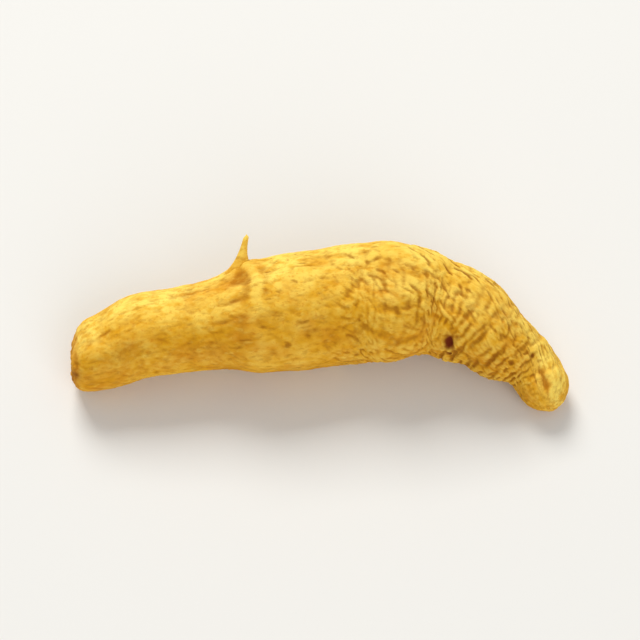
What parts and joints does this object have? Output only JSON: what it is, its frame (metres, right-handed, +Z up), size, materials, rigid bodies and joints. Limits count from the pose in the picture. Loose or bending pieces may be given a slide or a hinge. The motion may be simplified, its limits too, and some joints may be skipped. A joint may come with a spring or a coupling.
{
  "type": "turmeric root",
  "caption": "Whole dried turmeric finger, bent near its bud tip, with a swollen node, a thorn-like scale, leaf-scar rings and a wrinkled golden skin.",
  "frame": {"origin": "middle of the footprint, on the surface that the finger lies on", "axes": "+X along the finger towards the bud tip, +Y towards the thorn's side, +Z up"},
  "size_m": [0.04, 0.013, 0.0095],
  "materials": {
    "dried_rhizome": "matte, dusty, pale on the ridges and ochre in the wrinkles"
  },
  "bodies": {
    "root": {"turmeric_finger": "dried_rhizome"}
  },
  "joints": []
}
